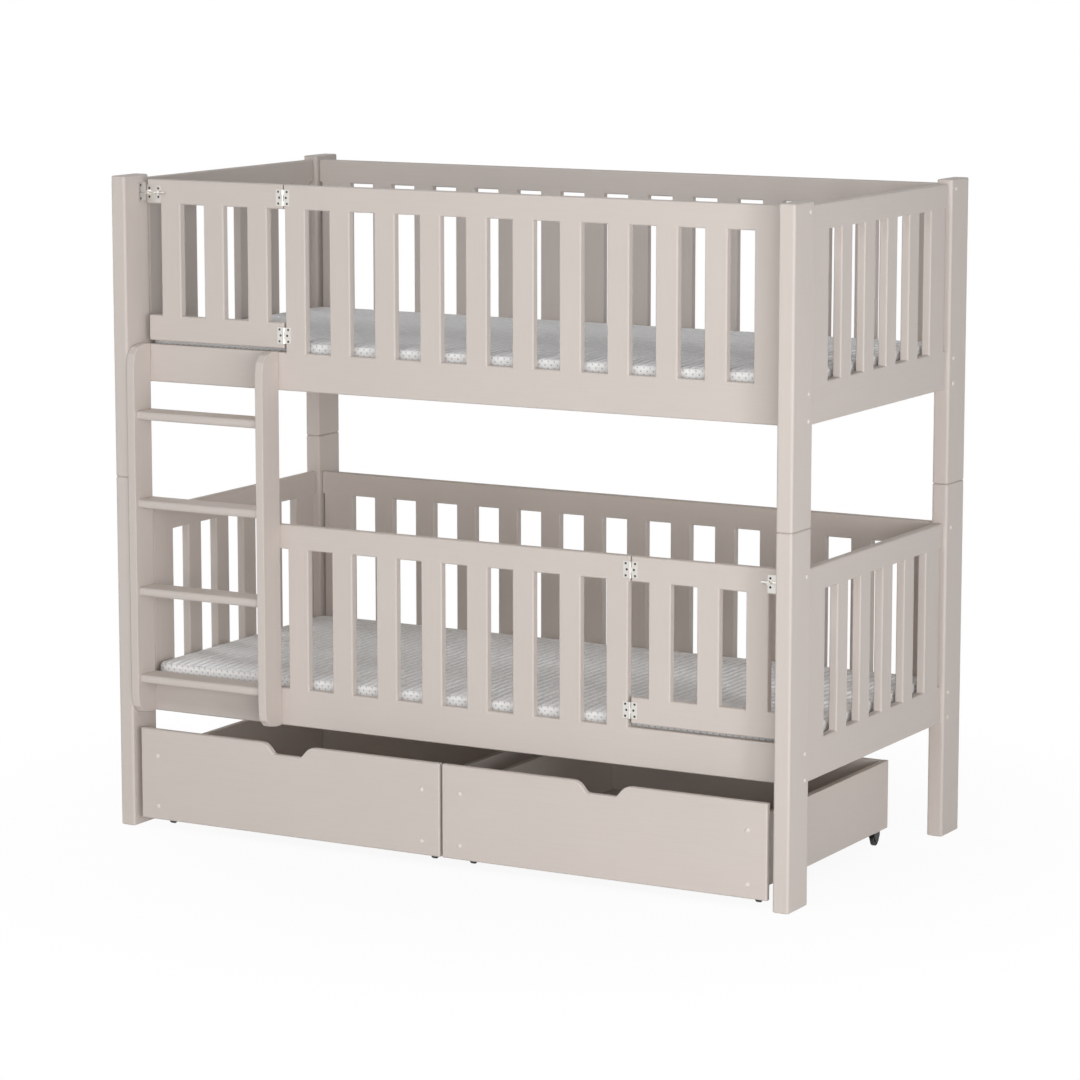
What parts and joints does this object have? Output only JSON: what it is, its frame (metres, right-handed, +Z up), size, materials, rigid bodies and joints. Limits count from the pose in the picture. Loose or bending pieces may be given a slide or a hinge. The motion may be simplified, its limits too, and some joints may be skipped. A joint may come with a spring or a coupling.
{
  "type": "bunk bed with drawers",
  "caption": "Low bunk bed of slatted panels between flat posts, with a flat ladder, swinging gates with sliding bolts, two mattresses and under-bed drawers on castors.",
  "frame": {"origin": "on the floor, at the middle of the whole bed's box seen from above", "axes": "+X along the bed towards the lower bed's gate, +Y from the ladder side to the back, +Z up"},
  "size_m": [1.872, 0.993, 1.64],
  "materials": {
    "painted_wood": "satin warm pale grey paint over solid wood",
    "slat_wood": "bare planed pine",
    "mattress_fabric": "embossed knit cover",
    "nickel_steel": "nickel-plated sheet steel",
    "black_plastic": "moulded black plastic"
  },
  "bodies": {
    "bed_frame": {"lower_post_front_left": "painted_wood", "lower_post_front_right": "painted_wood", "lower_post_back_left": "painted_wood", "lower_post_back_right": "painted_wood", "upper_post_front_left": "painted_wood", "upper_post_front_right": "painted_wood", "upper_post_back_left": "painted_wood", "upper_post_back_right": "painted_wood", "lower_left_end_panel": "painted_wood", "lower_right_end_panel": "painted_wood", "lower_back_panel": "painted_wood", "lower_front_panel": "painted_wood", "upper_left_end_panel": "painted_wood", "upper_right_end_panel": "painted_wood", "upper_back_panel": "painted_wood", "upper_front_panel": "painted_wood", "lower_top_hinge_frame_leaf": "nickel_steel", "lower_bottom_hinge_frame_leaf": "nickel_steel", "upper_top_hinge_frame_leaf": "nickel_steel", "upper_bottom_hinge_frame_leaf": "nickel_steel", "lower_latch_keeper": "nickel_steel", "upper_latch_keeper": "nickel_steel", "lower_bed_base": "slat_wood", "upper_bed_base": "slat_wood", "lower_mattress": "mattress_fabric", "upper_mattress": "mattress_fabric", "ladder_stringer_left": "painted_wood", "ladder_stringer_right": "painted_wood", "ladder_rung_1": "painted_wood", "ladder_rung_2": "painted_wood", "ladder_rung_3": "painted_wood", "ladder_rung_4": "painted_wood"},
    "upper_gate": {"upper_gate": "painted_wood", "upper_top_hinge_gate_leaf": "nickel_steel", "upper_bottom_hinge_gate_leaf": "nickel_steel", "upper_latch_plate": "nickel_steel"},
    "upper_latch_bolt": {"upper_latch_bolt": "nickel_steel"},
    "lower_gate": {"lower_gate": "painted_wood", "lower_top_hinge_gate_leaf": "nickel_steel", "lower_bottom_hinge_gate_leaf": "nickel_steel", "lower_latch_plate": "nickel_steel"},
    "lower_latch_bolt": {"lower_latch_bolt": "nickel_steel"},
    "left_drawer": {"left_drawer_front": "painted_wood", "left_drawer_left_side": "painted_wood", "left_drawer_right_side": "painted_wood", "left_drawer_back": "painted_wood", "left_drawer_bottom": "painted_wood"},
    "left_drawer_wheel_front_left": {"left_drawer_wheel_front_left": "black_plastic"},
    "left_drawer_wheel_front_right": {"left_drawer_wheel_front_right": "black_plastic"},
    "left_drawer_wheel_back_left": {"left_drawer_wheel_back_left": "black_plastic"},
    "left_drawer_wheel_back_right": {"left_drawer_wheel_back_right": "black_plastic"},
    "right_drawer": {"right_drawer_front": "painted_wood", "right_drawer_left_side": "painted_wood", "right_drawer_right_side": "painted_wood", "right_drawer_back": "painted_wood", "right_drawer_bottom": "painted_wood"},
    "right_drawer_wheel_front_left": {"right_drawer_wheel_front_left": "black_plastic"},
    "right_drawer_wheel_front_right": {"right_drawer_wheel_front_right": "black_plastic"},
    "right_drawer_wheel_back_left": {"right_drawer_wheel_back_left": "black_plastic"},
    "right_drawer_wheel_back_right": {"right_drawer_wheel_back_right": "black_plastic"}
  },
  "joints": [
    {"name": "upper_gate_hinge", "type": "hinge", "parent": "bed_frame", "child": "upper_gate", "pos_m": [-0.4755, -0.4245, 1.4], "axis": [0, 0, 1], "range_deg": [0, 170]},
    {"name": "upper_latch_slide", "type": "slide", "parent": "upper_gate", "child": "upper_latch_bolt", "axis": [-1, 0, 0], "range_m": [0, 0.018]},
    {"name": "lower_gate_hinge", "type": "hinge", "parent": "bed_frame", "child": "lower_gate", "pos_m": [0.4845, -0.4245, 0.56], "axis": [0, 0, -1], "range_deg": [0, 170]},
    {"name": "lower_latch_slide", "type": "slide", "parent": "lower_gate", "child": "lower_latch_bolt", "axis": [1, 0, 0], "range_m": [0, 0.018]},
    {"name": "left_drawer_slide", "type": "slide", "parent": "bed_frame", "child": "left_drawer", "axis": [0, -1, 0], "range_m": [0, 0.6]},
    {"name": "left_wheel_front_left_spin", "type": "hinge", "parent": "left_drawer", "child": "left_drawer_wheel_front_left", "pos_m": [-0.8255, -0.4165, 0.0147], "axis": [1, 0, 0], "continuous": true},
    {"name": "left_wheel_front_right_spin", "type": "hinge", "parent": "left_drawer", "child": "left_drawer_wheel_front_right", "pos_m": [-0.0545, -0.4165, 0.0147], "axis": [1, 0, 0], "continuous": true},
    {"name": "left_wheel_back_left_spin", "type": "hinge", "parent": "left_drawer", "child": "left_drawer_wheel_back_left", "pos_m": [-0.8255, 0.2285, 0.0147], "axis": [1, 0, 0], "continuous": true},
    {"name": "left_wheel_back_right_spin", "type": "hinge", "parent": "left_drawer", "child": "left_drawer_wheel_back_right", "pos_m": [-0.0545, 0.2285, 0.0147], "axis": [1, 0, 0], "continuous": true},
    {"name": "right_drawer_slide", "type": "slide", "parent": "bed_frame", "child": "right_drawer", "axis": [0, -1, 0], "range_m": [0, 0.6]},
    {"name": "right_wheel_front_left_spin", "type": "hinge", "parent": "right_drawer", "child": "right_drawer_wheel_front_left", "pos_m": [0.0545, -0.4165, 0.0147], "axis": [1, 0, 0], "continuous": true},
    {"name": "right_wheel_front_right_spin", "type": "hinge", "parent": "right_drawer", "child": "right_drawer_wheel_front_right", "pos_m": [0.8255, -0.4165, 0.0147], "axis": [1, 0, 0], "continuous": true},
    {"name": "right_wheel_back_left_spin", "type": "hinge", "parent": "right_drawer", "child": "right_drawer_wheel_back_left", "pos_m": [0.0545, 0.2285, 0.0147], "axis": [1, 0, 0], "continuous": true},
    {"name": "right_wheel_back_right_spin", "type": "hinge", "parent": "right_drawer", "child": "right_drawer_wheel_back_right", "pos_m": [0.8255, 0.2285, 0.0147], "axis": [1, 0, 0], "continuous": true}
  ],
  "couplings": [
    {"joint": "left_wheel_front_left_spin", "follows": "left_drawer_slide", "rad_per_m": 68.966},
    {"joint": "left_wheel_front_right_spin", "follows": "left_drawer_slide", "rad_per_m": 68.966},
    {"joint": "left_wheel_back_left_spin", "follows": "left_drawer_slide", "rad_per_m": 68.966},
    {"joint": "left_wheel_back_right_spin", "follows": "left_drawer_slide", "rad_per_m": 68.966},
    {"joint": "right_wheel_front_left_spin", "follows": "right_drawer_slide", "rad_per_m": 68.966},
    {"joint": "right_wheel_front_right_spin", "follows": "right_drawer_slide", "rad_per_m": 68.966},
    {"joint": "right_wheel_back_left_spin", "follows": "right_drawer_slide", "rad_per_m": 68.966},
    {"joint": "right_wheel_back_right_spin", "follows": "right_drawer_slide", "rad_per_m": 68.966}
  ]
}
